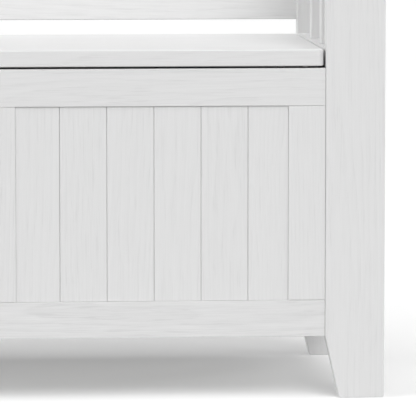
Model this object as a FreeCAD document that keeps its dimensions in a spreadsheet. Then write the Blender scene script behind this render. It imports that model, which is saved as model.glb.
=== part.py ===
import FreeCAD, Part
import math
import os
import re
import Sketcher

# A painted storage bench with a lift-up seat, in millimetres.
# +Z is up, the front faces -Y, and +X is to the right as seen from the front.
# The origin is on the floor, in the middle of the bench.

doc = FreeCAD.newDocument("StorageBench")
sheet = doc.addObject("Spreadsheet::Sheet", "Sizes")
nodes = []

# Driving sizes, each with its own row in the sheet
SIZES = {
    # Whole bench
    "body_width": 1040,
    "body_depth": 430,
    "seat_height": 470,
    "arm_underside": 676,
    "back_height": 850,
    "rail_clearance": 84,
    # Posts
    "post_width": 80,
    "post_thick": 24,
    "post_ease": 1.2,
    "foot_inset": 19,
    "foot_round": 4,
    # Front frame and planks
    "frame_setback": 1.5,
    "frame_thick": 20,
    "frame_ease": 0.5,
    "top_rail_height": 50,
    "low_rail_height": 49,
    "stile_width": 50,
    "muntin_width": 50,
    "plank_setback": 2,
    "plank_thick": 10,
    "plank_chamfer": 0.5,
    "plank_gap": 0.5,
    "quirk_width": 0.5,
    "quirk_depth": 1.5,
    "plank_hidden_inner": 4,
    "plank_hidden_outer": 9,
    "plank_insert": 9,
    "rail_groove": 10,
    "stile_groove": 15,
    "tongue_length": 5,
    "tongue_thick": 3,
    # Wood joints
    "joint_gap": 0.2,
    "shoulder_gap": 0.35,
    "tenon_thick": 8,
    "tenon_shoulder": 6,
    "tenon_depth": 12,
    "rail_tenon": 25,
    "stub_tenon": 5,
    # Sides and arms
    "ledge_thick": 22,
    "side_rail_thick": 20,
    "side_rail_height": 50,
    "slat_inset": 7,
    "slat_thick": 24,
    "arm_thick": 24,
    "arm_overhang": 8,
    "arm_corner": 12,
    "arm_round": 4,
    # Back
    "back_gap": 20,
    "back_rail_thick": 13,
    "back_low_rail": 60,
    "crest_rail": 85,
    "back_slat_width": 60,
    "back_slat_thick": 9,
    "back_tenon": 6,
    "back_slat_tenon": 10,
    # Inside of the box
    "hinge_rail_height": 40,
    "panel_thick": 6,
    "panel_groove": 8,
    "panel_spare": 0.5,
    "cleat_side": 20,
    "cleat_lift": 1,
    "cleat_end_gap": 10,
    "floor_thick": 10,
    "floor_gap": 1,
    # Lid
    "lid_thick": 22,
    "lid_gap": 3,
    "lid_side_gap": 2.5,
    "lid_back_gap": 2,
    "lid_corner": 10,
    "lid_round": 1.5,
    "lid_open_angle": 65,
    "batten_width": 40,
    "batten_thick": 18,
    "batten_place": 177.5,
    "batten_end_gap": 60,
    "bumper_radius": 5,
    "bumper_gap": 0.3,
    "bumper_place": 57.5,
    # Hinges and screws
    "hinge_place": 137.5,
    "leaf_length": 64,
    "leaf_width": 18.5,
    "leaf_gap": 0.2,
    "knuckle_radius": 3,
    "knuckle_gap": 0.2,
    "knuckle_back_gap": 0.5,
    "pin_radius": 1.5,
    "pin_gap": 0.05,
    "pin_head_radius": 2.4,
    "pin_head_length": 1.2,
    "screw_head_radius": 2.8,
    "screw_radius": 1.5,
    "screw_length": 13,
    "screw_gap": 0.1,
    "leaf_screw_pitch": 22,
    # Lid stays
    "stay_reach": 140,
    "stay_drop": 18,
    "stay_inset": 6.5,
    "stay_thick": 2.5,
    "stay_band": 8,
    "stay_pin_radius": 3,
    "stay_pin_gap": 0.5,
    "stay_tab": 16,
    "stay_flange": 18,
    "stay_flange_thick": 2,
    "stay_head_radius": 5,
    "stay_head_thick": 1.5,
    "bracket_inset": 1,
    "bracket_flange": 22,
    "bracket_half": 12,
}

# Counts of repeated pieces
PLANKS_PER_BAY = 6
PLANKS_PER_SIDE = 6
BACK_SLATS = 7
ARM_SLATS = ("front", "rear")
KNUCKLES = 5
LEAF_SCREWS = 3
SIDES = ("left", "right")

# Worked-out places, as expressions of the driving sizes
INNER = "(body_width / 2 - post_width)"
SHOULDER = f"({INNER} - shoulder_gap)"
SIDE_MID = "(body_width / 2 - post_width / 2)"
SIDE_FACE = f"({SIDE_MID} + side_rail_thick / 2)"
SIDE_INSIDE = f"({SIDE_MID} - side_rail_thick / 2)"
FRONT = "((arm_overhang - body_depth) / 2)"
BACK = "((arm_overhang + body_depth) / 2)"
POST_BACK = f"({FRONT} + post_thick)"
BACK_FACE = f"({BACK} - post_thick)"
FRAME_FACE = f"({FRONT} + frame_setback)"
FRAME_BACK = f"({FRAME_FACE} + frame_thick)"
PLANK_FACE = f"({FRAME_FACE} + plank_setback)"
SIDE_RUN = "(body_depth - 2 * post_thick)"
LID_UNDER = "(seat_height - lid_thick)"
RAIL_TOP = f"({LID_UNDER} - lid_gap)"
TOP_RAIL_Z = f"({RAIL_TOP} - top_rail_height)"
LOW_RAIL_TOP = "(rail_clearance + low_rail_height)"
PANEL_HEIGHT = f"({TOP_RAIL_Z} - {LOW_RAIL_TOP})"
LEDGE_Z = "(seat_height - ledge_thick)"
SIDE_RAIL_Z = f"({LEDGE_Z} - side_rail_height)"
HINGE_RAIL_Z = f"({RAIL_TOP} - hinge_rail_height)"
REAR_RAIL_Y = f"({BACK_FACE} - side_rail_thick)"
BACK_RAIL_Y = f"({BACK} - back_rail_thick)"
BACK_LOW_Z = "(seat_height + back_gap)"
CREST_Z = "(back_height - crest_rail)"
LID_HALF = f"({INNER} - lid_side_gap)"
LID_REAR = f"({BACK_FACE} - lid_back_gap)"
AXIS_Y = f"({BACK_FACE} + knuckle_back_gap + knuckle_radius)"
AXIS_Z = f"({RAIL_TOP} + lid_gap / 2)"
LEAF_THICK = "((lid_gap - leaf_gap) / 2)"
LEAF_Y = f"({BACK_FACE} - leaf_width)"
STAY_FACE = f"({INNER} - stay_inset)"
STAY_Y = f"({AXIS_Y} - stay_reach)"
STAY_Z = f"({AXIS_Z} - stay_drop)"
FLOOR_Z = "(rail_clearance + cleat_lift + cleat_side)"
PLANK_PITCH = (
    f"(({INNER} - stile_width - muntin_width / 2 + plank_hidden_inner + plank_hidden_outer)"
    f" / {PLANKS_PER_BAY})"
)
SIDE_PITCH = f"(({SIDE_RUN} - 2 * joint_gap) / {PLANKS_PER_SIDE})"

ALIAS = re.compile(r"[a-z][a-z_]+")


def fill_sheet():
    """Give each driving size a row and an alias in the sheet."""
    for row, (name, number) in enumerate(SIZES.items(), start=1):
        sheet.set(f"A{row}", name)
        sheet.set(f"B{row}", str(number))
        sheet.setAlias(f"B{row}", name)


def value(name):
    """Read one driving size back from the sheet."""
    return float(sheet.get(name))


def sheet_path(match):
    """Put the sheet's name before an alias, and leave other words alone."""
    word = match.group()
    return f"Sizes.{word}" if word in SIZES else word


def bind(thing, prop, text):
    """Drive a property with an expression of the sheet's sizes."""
    thing.setExpression(prop, ALIAS.sub(sheet_path, text))


def put(thing, at):
    """Drive the place of an object with three expressions."""
    for axis, text in zip("xyz", at):
        bind(thing, f"Placement.Base.{axis}", text)


def keep(label, thing):
    """Name an object as a finished piece of the bench."""
    thing.Label = label
    nodes.append(thing)
    return thing


def outward(side, near, wide):
    """Lowest x of something that starts at near and reaches wide outward on one side."""
    return near if side == "right" else f"(-{near} - {wide})"


def block(name, at, extent):
    """A rectangular solid, by its lowest corner and its three extents."""
    box = doc.addObject("Part::Box", name)
    for prop, text in zip(("Length", "Width", "Height"), extent):
        bind(box, prop, text)
    put(box, at)
    return box


def grown(name, at, extent):
    """The room that a tenon needs: the same block with the joint's clearance all round."""
    room_at = [f"({text} - joint_gap)" for text in at]
    room_extent = [f"({text} + 2 * joint_gap)" for text in extent]
    return block(name, room_at, room_extent)


def rod(name, at, radius, length, direction=FreeCAD.Vector(1, 0, 0)):
    """A round bar along one direction."""
    bar = doc.addObject("Part::Cylinder", name)
    turn = FreeCAD.Rotation(FreeCAD.Vector(0, 0, 1), direction)
    bar.Placement = FreeCAD.Placement(FreeCAD.Vector(), turn)
    bind(bar, "Radius", radius)
    bind(bar, "Height", length)
    put(bar, at)
    return bar


def joined(name, pieces):
    """Several solids as one piece of wood or metal."""
    whole = doc.addObject("Part::MultiFuse", name)
    whole.Shapes = pieces
    whole.Refine = True
    return whole


def cut(name, base, tools):
    """A piece with several pockets cut from it."""
    result = doc.addObject("Part::Cut", name)
    result.Base = base
    result.Tool = tools[0] if len(tools) == 1 else joined(f"{name}_pockets", tools)
    result.Refine = True
    return result


def group(name, pieces):
    """Loose solids that share one node."""
    bundle = doc.addObject("Part::Compound", name)
    bundle.Links = pieces
    return bundle


def edge_numbers(thing, wanted):
    """Numbers of the edges that a test picks from a computed shape."""
    doc.recompute()
    bounds = thing.Shape.BoundBox
    return [
        number
        for number, edge in enumerate(thing.Shape.Edges, start=1)
        if wanted(edge, bounds)
    ]


def eased(name, base, amount, wanted):
    """Take the sharpness off the edges that a test picks."""
    soft = doc.addObject("Part::Chamfer", name)
    soft.Base = base
    cut_back = value(amount)
    soft.Edges = [(number, cut_back, cut_back) for number in edge_numbers(base, wanted)]
    return soft


def same(one, two):
    """Whether two lengths match to a thousandth of a millimetre."""
    return round(one - two, 3) == 0


def on_front(edge, bounds):
    """An edge of the face that looks forward."""
    return same(edge.BoundBox.YMax, bounds.YMin)


def on_either_side(edge, bounds):
    """An edge of the faces that look left and right."""
    near = same(edge.BoundBox.XMax, bounds.XMin)
    far = same(edge.BoundBox.XMin, bounds.XMax)
    return near or far


def upright(edge, bounds):
    """An edge that runs the whole height."""
    return same(edge.BoundBox.ZLength, bounds.ZLength)


def foot_corner(edge, bounds):
    """An edge on the floor that runs from front to back."""
    return same(edge.BoundBox.ZMax, bounds.ZMin) and same(edge.BoundBox.XLength, 0)


def outline(name, plane, corners):
    """A body with a sketch of straight sides, each corner driven by the sheet."""
    body = doc.addObject("PartDesign::Body", name)
    sketch = body.newObject("Sketcher::SketchObject", f"{name}_sketch")
    face = next(item for item in body.Origin.OriginFeatures if item.Role == plane)
    sketch.AttachmentSupport = [(face, "")]
    sketch.MapMode = "FlatFace"
    count = len(corners)
    ring = []
    for place in range(count):
        turn = 2 * math.pi * place / count
        ring.append(FreeCAD.Vector(2 + math.cos(turn), 2 + math.sin(turn), 0))
    for place in range(count):
        sketch.addGeometry(Part.LineSegment(ring[place], ring[(place + 1) % count]))
    for place in range(count):
        sketch.addConstraint(Sketcher.Constraint("Coincident", place, 2, (place + 1) % count, 1))
    for place, (across, up) in enumerate(corners):
        pin_corner(sketch, place, "DistanceX", across, axis=-2, start=ring[place].x)
        pin_corner(sketch, place, "DistanceY", up, axis=-1, start=ring[place].y)
    return body, sketch


def pin_corner(sketch, line, kind, text, axis, start):
    """Hold one coordinate of a line's first end, on the axis or at a driven distance."""
    if text == "0":
        sketch.addConstraint(Sketcher.Constraint("PointOnObject", line, 1, axis))
        return
    number = sketch.addConstraint(Sketcher.Constraint(kind, -1, 1, line, 1, start))
    bind(sketch, f"Constraints[{number}]", text)


def padded(body, sketch, length, backward=False):
    """Give a sketch its thickness."""
    pad = body.newObject("PartDesign::Pad", f"{body.Name}_pad")
    pad.Profile = sketch
    pad.Reversed = backward
    bind(pad, "Length", length)
    return pad


def rounded(body, base, radius, wanted, name):
    """Round the edges of a body's feature that a test picks."""
    soft = body.newObject("PartDesign::Fillet", f"{body.Name}_{name}")
    soft.Base = (base, [f"Edge{number}" for number in edge_numbers(base, wanted)])
    bind(soft, "Radius", radius)
    return soft


# Joints, each as the place and the extent of its tenon

def front_tenon(side, low, height):
    """Tenon of a front rail in a front post."""
    long = "(rail_tenon + shoulder_gap)"
    at = (
        outward(side, SHOULDER, long),
        f"({FRAME_FACE} + (frame_thick - tenon_thick) / 2)",
        f"({low} + tenon_shoulder)",
    )
    return at, (long, "tenon_thick", f"({height} - 2 * tenon_shoulder)")


def end_y(end):
    """Lowest y of a side board's tenon at its front or rear end."""
    return f"({POST_BACK} - tenon_depth)" if end == "front" else BACK_FACE


def side_tenon(side, end, low, height):
    """Tenon of a side rail in a post."""
    near = f"({SIDE_MID} - tenon_thick / 2)"
    at = (outward(side, near, "tenon_thick"), end_y(end), f"({low} + tenon_shoulder)")
    return at, ("tenon_thick", "tenon_depth", f"({height} - 2 * tenon_shoulder)")


def flat_tenon(side, end, low, thick):
    """Tenon of a ledge or an arm, which lie flat, in a post."""
    wide = "(post_width - 4 * tenon_shoulder)"
    near = f"({SIDE_MID} - {wide} / 2)"
    at = (outward(side, near, wide), end_y(end), f"({low} + ({thick} - tenon_thick) / 2)")
    return at, (wide, "tenon_depth", "tenon_thick")


def top_tenon(side, low_y, thick, low_z):
    """Tenon that stands on a post or a slat, or hangs under a slat."""
    wide = "(post_width - 2 * slat_inset - 2 * tenon_shoulder)"
    near = f"({SIDE_MID} - {wide} / 2)"
    at = (outward(side, near, wide), f"({low_y} + ({thick} - tenon_thick) / 2)", low_z)
    return at, (wide, "tenon_thick", "tenon_depth")


def back_rail_tenon(side, low, height):
    """Tenon of a back rail in a back post."""
    at = (
        outward(side, INNER, "rail_tenon"),
        f"({BACK_RAIL_Y} + (back_rail_thick - back_tenon) / 2)",
        f"({low} + tenon_shoulder)",
    )
    return at, ("rail_tenon", "back_tenon", f"({height} - 2 * tenon_shoulder)")


def stub(side, low, height):
    """Short tenon of a rear rail of the box in a side rail."""
    at = (
        outward(side, SIDE_INSIDE, "stub_tenon"),
        f"({REAR_RAIL_Y} + (side_rail_thick - tenon_thick) / 2)",
        f"({low} + tenon_shoulder)",
    )
    return at, ("stub_tenon", "tenon_thick", f"({height} - 2 * tenon_shoulder)")


def slat_y(place):
    """Front face of an arm slat, with even gaps between the posts."""
    gap = f"(({SIDE_RUN} - {len(ARM_SLATS)} * slat_thick) / {len(ARM_SLATS) + 1})"
    return f"({POST_BACK} + {gap} + {place} * ({gap} + slat_thick))"


# Side frames

def post_body(name, side, height, face):
    """A post board with a rounded foot, cut on the slant on the inner side."""
    if side == "right":
        base = [("foot_inset", "0"), ("post_width", "0")]
        top = [("post_width", height), ("0", height), ("0", "rail_clearance")]
    else:
        base = [("0", "0"), ("(post_width - foot_inset)", "0")]
        top = [("post_width", "rail_clearance"), ("post_width", height), ("0", height)]
    body, sketch = outline(name, "XZ_Plane", base + top)
    pad = padded(body, sketch, "post_thick", backward=True)
    foot = rounded(body, pad, "foot_round", foot_corner, "foot")
    rounded(body, foot, "post_ease", lambda edge, bounds: same(edge.BoundBox.YLength, 0), "ease")
    put(body, (outward(side, INNER, "post_width"), face, "0"))
    return body


def front_post(side):
    """Front post, with a tenon for the arm and mortises for the rails and the ledge."""
    name = f"front_post_{side}"
    board = post_body(f"{name}_board", side, "arm_underside", FRONT)
    tenon = block(f"{name}_tenon", *top_tenon(side, FRONT, "post_thick", "arm_underside"))
    mortises = [
        grown(f"{name}_top", *front_tenon(side, TOP_RAIL_Z, "top_rail_height")),
        grown(f"{name}_low", *front_tenon(side, "rail_clearance", "low_rail_height")),
        grown(f"{name}_ledge", *flat_tenon(side, "front", LEDGE_Z, "ledge_thick")),
        grown(f"{name}_rail", *side_tenon(side, "front", SIDE_RAIL_Z, "side_rail_height")),
        grown(f"{name}_base", *side_tenon(side, "front", "rail_clearance", "low_rail_height")),
    ]
    whole = joined(f"{name}_whole", [board, tenon])
    return keep(name, cut(f"{name}_cut", whole, mortises))


def back_post(side):
    """Back post, with mortises for the side boards, the arm and the back rails."""
    name = f"back_post_{side}"
    board = post_body(f"{name}_board", side, "back_height", BACK_FACE)
    mortises = [
        grown(f"{name}_ledge", *flat_tenon(side, "rear", LEDGE_Z, "ledge_thick")),
        grown(f"{name}_arm", *flat_tenon(side, "rear", "arm_underside", "arm_thick")),
        grown(f"{name}_rail", *side_tenon(side, "rear", SIDE_RAIL_Z, "side_rail_height")),
        grown(f"{name}_base", *side_tenon(side, "rear", "rail_clearance", "low_rail_height")),
        grown(f"{name}_back", *back_rail_tenon(side, BACK_LOW_Z, "back_low_rail")),
        grown(f"{name}_crest", *back_rail_tenon(side, CREST_Z, "crest_rail")),
    ]
    return keep(name, cut(f"{name}_cut", board, mortises))


def seat_ledge(side):
    """Fixed board beside the lid, level with it, with mortises for the arm slats."""
    name = f"seat_ledge_{side}"
    at = (outward(side, INNER, "post_width"), POST_BACK, LEDGE_Z)
    board = block(f"{name}_board", at, ("post_width", SIDE_RUN, "ledge_thick"))
    soft = eased(f"{name}_soft", board, "post_ease", on_either_side)
    tenons = [
        block(f"{name}_{end}", *flat_tenon(side, end, LEDGE_Z, "ledge_thick"))
        for end in ("front", "rear")
    ]
    mortises = [
        grown(f"{name}_slat_{end}", *top_tenon(side, slat_y(place), "slat_thick",
                                               "(seat_height - tenon_depth)"))
        for place, end in enumerate(ARM_SLATS)
    ]
    whole = joined(f"{name}_whole", [soft] + tenons)
    return keep(name, cut(f"{name}_cut", whole, mortises + bracket_screws(side, "screw_gap")))


def side_rail(name, side, low, height, groove_low, rear_joint):
    """A rail of the side, grooved for the planks, with a mortise for a rear rail."""
    at = (outward(side, SIDE_INSIDE, "side_rail_thick"), POST_BACK, low)
    board = block(f"{name}_board", at, ("side_rail_thick", SIDE_RUN, height))
    soft = eased(f"{name}_soft", board, "frame_ease", on_either_side)
    tenons = [
        block(f"{name}_{end}", *side_tenon(side, end, low, height))
        for end in ("front", "rear")
    ]
    near = f"({SIDE_FACE} - plank_setback - plank_thick - joint_gap)"
    wide = "(plank_thick + 2 * joint_gap)"
    groove = block(
        f"{name}_groove",
        (outward(side, near, wide), POST_BACK, groove_low),
        (wide, SIDE_RUN, "rail_groove"),
    )
    whole = joined(f"{name}_whole", [soft] + tenons)
    return keep(name, cut(f"{name}_cut", whole, [groove, grown(f"{name}_stub", *rear_joint)]))


def plank_body(name, pitch, height, with_tongue=True):
    """A tongue-and-groove plank with small chamfers and an open seam along its front lips."""
    middle = "plank_thick / 2"
    low, high = f"({middle} - tongue_thick / 2)", f"({middle} + tongue_thick / 2)"
    deep = "(tongue_length + joint_gap)"
    lip = f"({pitch} - plank_gap)"
    front = [
        ("plank_chamfer", "0"),
        (f"({lip} - plank_chamfer)", "0"),
        (lip, "plank_chamfer"),
        (lip, low),
    ]
    tongue = [
        (f"({pitch} + tongue_length)", low),
        (f"({pitch} + tongue_length)", high),
        (pitch, high),
    ]
    rear = [(pitch, "plank_thick"), ("0", "plank_thick")]
    groove = [
        ("0", f"({high} + joint_gap)"),
        (deep, f"({high} + joint_gap)"),
        (deep, f"({low} - joint_gap)"),
        ("0", f"({low} - joint_gap)"),
        ("0", "plank_chamfer"),
    ]
    corners = front + (tongue if with_tongue else [(pitch, low)]) + rear + groove
    body, sketch = outline(name, "XY_Plane", corners)
    padded(body, sketch, height)
    return body


def side_planks(side):
    """Upright planks that close a side of the box."""
    face = f"({SIDE_FACE} - plank_setback)"
    low = f"({LOW_RAIL_TOP} - plank_insert)"
    height = f"({SIDE_RAIL_Z} - {LOW_RAIL_TOP} + 2 * plank_insert)"
    planks = []
    for place in range(PLANKS_PER_SIDE):
        last = place == PLANKS_PER_SIDE - 1
        plank = plank_body(f"side_plank_{side}_{place}", SIDE_PITCH, height, not last)
        along = f"{place} * {SIDE_PITCH} + joint_gap"
        turn = 90 if side == "right" else -90
        plank.Placement = FreeCAD.Placement(
            FreeCAD.Vector(), FreeCAD.Rotation(FreeCAD.Vector(0, 0, 1), turn)
        )
        if side == "right":
            put(plank, (face, f"({POST_BACK} + {along})", low))
        else:
            put(plank, (f"(-{face})", f"({BACK_FACE} - ({along}))", low))
        planks.append(plank)
    return keep(f"side_planks_{side}", group(f"side_planks_{side}_group", planks))


def arm(side):
    """Arm board over the front post and the slats, clear of the lid, tenoned into the back post."""
    name = f"arm_{side}"
    wide = "(post_width + arm_overhang)"
    long = f"({SIDE_RUN} + post_thick + arm_overhang)"
    corners = [("0", "0"), (wide, "0"), (wide, long), ("0", long)]
    body, sketch = outline(f"{name}_board", "XY_Plane", corners)
    pad = padded(body, sketch, "arm_thick")
    corner = rounded(
        body, pad, "arm_corner",
        lambda edge, bounds: upright(edge, bounds) and on_front(edge, bounds), "corner",
    )
    rounded(
        body, corner, "arm_round",
        lambda edge, bounds: same(edge.BoundBox.ZLength, 0) and not same(edge.BoundBox.YMin, bounds.YMax),
        "round",
    )
    put(body, (outward(side, INNER, wide), f"({FRONT} - arm_overhang)", "arm_underside"))
    tenon = block(f"{name}_tenon", *flat_tenon(side, "rear", "arm_underside", "arm_thick"))
    mortises = [grown(f"{name}_post", *top_tenon(side, FRONT, "post_thick", "arm_underside"))]
    for place, end in enumerate(ARM_SLATS):
        tenon_room = top_tenon(side, slat_y(place), "slat_thick", "arm_underside")
        mortises.append(grown(f"{name}_slat_{end}", *tenon_room))
    whole = joined(f"{name}_whole", [body, tenon])
    return keep(name, cut(f"{name}_cut", whole, mortises))


def arm_slat(side, place, end):
    """Upright slat between the ledge and the arm, tenoned at both ends."""
    name = f"arm_slat_{side}_{end}"
    wide = "(post_width - 2 * slat_inset)"
    near = f"({INNER} + slat_inset)"
    at = (outward(side, near, wide), slat_y(place), "(seat_height + shoulder_gap)")
    high = "(arm_underside - seat_height - shoulder_gap)"
    board = block(f"{name}_board", at, (wide, "slat_thick", high))
    soft = eased(f"{name}_soft", board, "post_ease", upright)
    tenons = [
        block(f"{name}_foot", *top_tenon(side, slat_y(place), "slat_thick",
                                         "(seat_height + shoulder_gap - tenon_depth)")),
        block(f"{name}_head", *top_tenon(side, slat_y(place), "slat_thick", "arm_underside")),
    ]
    return keep(name, joined(f"{name}_whole", [soft] + tenons))


def side_frame(side):
    """All the boards of one end of the bench."""
    front_post(side)
    back_post(side)
    seat_ledge(side)
    side_rail(
        f"side_top_rail_{side}", side, SIDE_RAIL_Z, "side_rail_height", SIDE_RAIL_Z,
        stub(side, HINGE_RAIL_Z, "hinge_rail_height"),
    )
    side_rail(
        f"side_bottom_rail_{side}", side, "rail_clearance", "low_rail_height",
        f"({LOW_RAIL_TOP} - rail_groove)",
        stub(side, "rail_clearance", "low_rail_height"),
    )
    side_planks(side)
    for place, end in enumerate(ARM_SLATS):
        arm_slat(side, place, end)
    arm(side)


# Front of the box

def front_rail(name, low, height, groove_low):
    """A rail between the front posts, grooved for the planks."""
    board = block(
        f"{name}_board",
        (f"(-{SHOULDER})", FRAME_FACE, low),
        (f"(2 * {SHOULDER})", "frame_thick", height),
    )
    soft = eased(f"{name}_soft", board, "frame_ease", on_front)
    tenons = [block(f"{name}_{side}", *front_tenon(side, low, height)) for side in SIDES]
    groove = block(
        f"{name}_groove",
        (f"(-{INNER})", f"({PLANK_FACE} - joint_gap)", groove_low),
        (f"(2 * {INNER})", "(plank_thick + 2 * joint_gap)", "rail_groove"),
    )
    return keep(name, cut(f"{name}_cut", joined(f"{name}_whole", [soft] + tenons), [groove]))


def front_upright(name, low_x, wide, groove_sides):
    """A stile or muntin between the front rails, tongued into them and grooved for planks."""
    board = block(
        f"{name}_board",
        (low_x, FRAME_FACE, f"({LOW_RAIL_TOP} + shoulder_gap)"),
        (wide, "frame_thick", f"({PANEL_HEIGHT} - 2 * shoulder_gap)"),
    )
    soft = eased(f"{name}_soft", board, "frame_ease", on_front)
    reach = "(rail_groove - joint_gap)"
    tongue = block(
        f"{name}_tongue",
        (low_x, PLANK_FACE, f"({LOW_RAIL_TOP} - {reach})"),
        (wide, "plank_thick", f"({PANEL_HEIGHT} + 2 * {reach})"),
    )
    grooves = []
    for side in groove_sides:
        start = low_x if side == "left" else f"({low_x} + {wide} - stile_groove)"
        grooves.append(block(
            f"{name}_groove_{side}",
            (start, f"({PLANK_FACE} - joint_gap)", f"({LOW_RAIL_TOP} - rail_groove)"),
            ("stile_groove", "(plank_thick + 2 * joint_gap)", f"({PANEL_HEIGHT} + 2 * rail_groove)"),
        ))
    return keep(name, cut(f"{name}_cut", joined(f"{name}_whole", [soft, tongue]), grooves))


def bay_quirk(side):
    """A fine slot in the face of a bay's planks, all along the edges of the frame."""
    near, far = "(muntin_width / 2)", f"({INNER} - stile_width)"
    wide = f"({far} - {near})"
    face = f"({PLANK_FACE} - joint_gap)"
    deep = "(quirk_depth + joint_gap)"
    slots = []
    for rail, low in (("bottom", LOW_RAIL_TOP), ("top", f"({TOP_RAIL_Z} - quirk_width)")):
        at = (outward(side, near, wide), face, low)
        slots.append(block(f"quirk_{side}_{rail}", at, (wide, deep, "quirk_width")))
    for edge, start in (("muntin", near), ("stile", f"({far} - quirk_width)")):
        at = (outward(side, start, "quirk_width"), face, LOW_RAIL_TOP)
        slots.append(block(f"quirk_{side}_{edge}", at, ("quirk_width", deep, PANEL_HEIGHT)))
    return joined(f"quirk_{side}", slots)


def front_plank(side, place, quirk):
    """One upright plank of a front bay, counted from the middle."""
    height = f"({PANEL_HEIGHT} + 2 * plank_insert)"
    plank = plank_body(f"front_plank_{side}_{place + 1}_body", PLANK_PITCH, height)
    near = f"(muntin_width / 2 - plank_hidden_inner + {place} * {PLANK_PITCH})"
    low_z = f"({LOW_RAIL_TOP} - plank_insert)"
    put(plank, (outward(side, near, PLANK_PITCH), PLANK_FACE, low_z))
    return keep(f"front_plank_{side}_{place + 1}", cut(f"{plank.Name}_cut", plank, [quirk]))


def front_frame():
    """Rails, stiles, muntin and planks of the front."""
    front_rail("front_top_rail", TOP_RAIL_Z, "top_rail_height", TOP_RAIL_Z)
    front_rail(
        "front_bottom_rail", "rail_clearance", "low_rail_height", f"({LOW_RAIL_TOP} - rail_groove)"
    )
    stile = "(stile_width - shoulder_gap)"
    front_upright("front_stile_left", f"(-{SHOULDER})", stile, ["right"])
    front_upright("front_stile_right", f"({INNER} - stile_width)", stile, ["left"])
    front_upright("front_muntin", "(-muntin_width / 2)", "muntin_width", SIDES)
    for side in SIDES:
        quirk = bay_quirk(side)
        for place in range(PLANKS_PER_BAY):
            front_plank(side, place, quirk)


# Back of the bench

def back_slat_room(place, low, spare):
    """Place and extent of a back slat's tenon, with room to spare on every side."""
    middle = f"(-{INNER} + {place + 1} * 2 * {INNER} / {BACK_SLATS + 1})"
    wide = "(back_slat_width - 2 * tenon_shoulder)"
    at = (
        f"({middle} - {wide} / 2 - {spare})",
        f"({BACK_RAIL_Y} + (back_rail_thick - back_tenon) / 2 - {spare})",
        f"({low} - {spare})",
    )
    extent = (
        f"({wide} + 2 * {spare})",
        f"(back_tenon + 2 * {spare})",
        f"(back_slat_tenon + 2 * {spare})",
    )
    return at, extent


def back_rail(name, low, height, mortise_low):
    """A rail between the back posts, with mortises for the slats."""
    board = block(
        f"{name}_board",
        (f"(-{INNER})", BACK_RAIL_Y, low),
        (f"(2 * {INNER})", "back_rail_thick", height),
    )
    soft = eased(
        f"{name}_soft", board, "post_ease",
        lambda edge, bounds: edge.BoundBox.XLength > bounds.XLength / 2,
    )
    tenons = [block(f"{name}_{side}", *back_rail_tenon(side, low, height)) for side in SIDES]
    mortises = [
        block(f"{name}_slat_{place}", *back_slat_room(place, mortise_low, "joint_gap"))
        for place in range(BACK_SLATS)
    ]
    return keep(name, cut(f"{name}_cut", joined(f"{name}_whole", [soft] + tenons), mortises))


def back_slats():
    """Upright slats between the back rails, evenly spaced."""
    low = f"({BACK_LOW_Z} + back_low_rail)"
    slats = []
    for place in range(BACK_SLATS):
        name = f"back_slat_{place}"
        middle = f"(-{INNER} + {place + 1} * 2 * {INNER} / {BACK_SLATS + 1})"
        board = block(
            f"{name}_board",
            (
                f"({middle} - back_slat_width / 2)",
                f"({BACK_RAIL_Y} + (back_rail_thick - back_slat_thick) / 2)",
                low,
            ),
            ("back_slat_width", "back_slat_thick", f"({CREST_Z} - {low})"),
        )
        soft = eased(f"{name}_soft", board, "post_ease", upright)
        foot = block(f"{name}_foot", *back_slat_room(place, f"({low} - back_slat_tenon)", "0"))
        head = block(f"{name}_head", *back_slat_room(place, CREST_Z, "0"))
        slats.append(joined(f"{name}_whole", [soft, foot, head]))
    return keep("back_slats", group("back_slats_group", slats))


def back_frame():
    """Rails and slats that the sitter leans on."""
    back_rail(
        "back_lower_rail", BACK_LOW_Z, "back_low_rail",
        f"({BACK_LOW_Z} + back_low_rail - back_slat_tenon)",
    )
    back_rail("back_crest_rail", CREST_Z, "crest_rail", CREST_Z)
    back_slats()


# Inside of the box

def rear_rail(name, low, height, groove_low, holes):
    """A rear rail of the box between the side rails, grooved for the back panel."""
    board = block(
        f"{name}_board",
        (f"(-{SIDE_INSIDE})", REAR_RAIL_Y, low),
        (f"(2 * {SIDE_INSIDE})", "side_rail_thick", height),
    )
    soft = eased(f"{name}_soft", board, "frame_ease", on_front)
    tenons = [block(f"{name}_{side}", *stub(side, low, height)) for side in SIDES]
    groove = block(
        f"{name}_groove",
        (
            f"(-{SIDE_INSIDE})",
            f"({REAR_RAIL_Y} + (side_rail_thick - panel_thick) / 2 - joint_gap)",
            groove_low,
        ),
        (f"(2 * {SIDE_INSIDE})", "(panel_thick + 2 * joint_gap)", "panel_groove"),
    )
    whole = joined(f"{name}_whole", [soft] + tenons)
    return keep(name, cut(f"{name}_cut", whole, [groove] + holes))


def storage_back_panel():
    """Thin panel that closes the box at the rear, held in the grooves of its rails."""
    reach = "(panel_groove - panel_spare)"
    panel = block(
        "storage_back_board",
        (
            f"(-{SIDE_INSIDE} + panel_spare)",
            f"({REAR_RAIL_Y} + (side_rail_thick - panel_thick) / 2)",
            f"({LOW_RAIL_TOP} - panel_groove)",
        ),
        (
            f"(2 * ({SIDE_INSIDE} - panel_spare))",
            "panel_thick",
            f"({HINGE_RAIL_Z} - {LOW_RAIL_TOP} + panel_groove + {reach})",
        ),
    )
    return keep("storage_back_panel", panel)


def storage_floor():
    """Floor panel, lying on the cleats."""
    low_y = f"({POST_BACK} + floor_gap)"
    panel = block(
        "storage_floor_board",
        (f"(-{SIDE_INSIDE} + floor_gap)", low_y, FLOOR_Z),
        (
            f"(2 * ({SIDE_INSIDE} - floor_gap))",
            f"({REAR_RAIL_Y} - floor_gap - {low_y})",
            "floor_thick",
        ),
    )
    return keep("storage_floor", panel)


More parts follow.
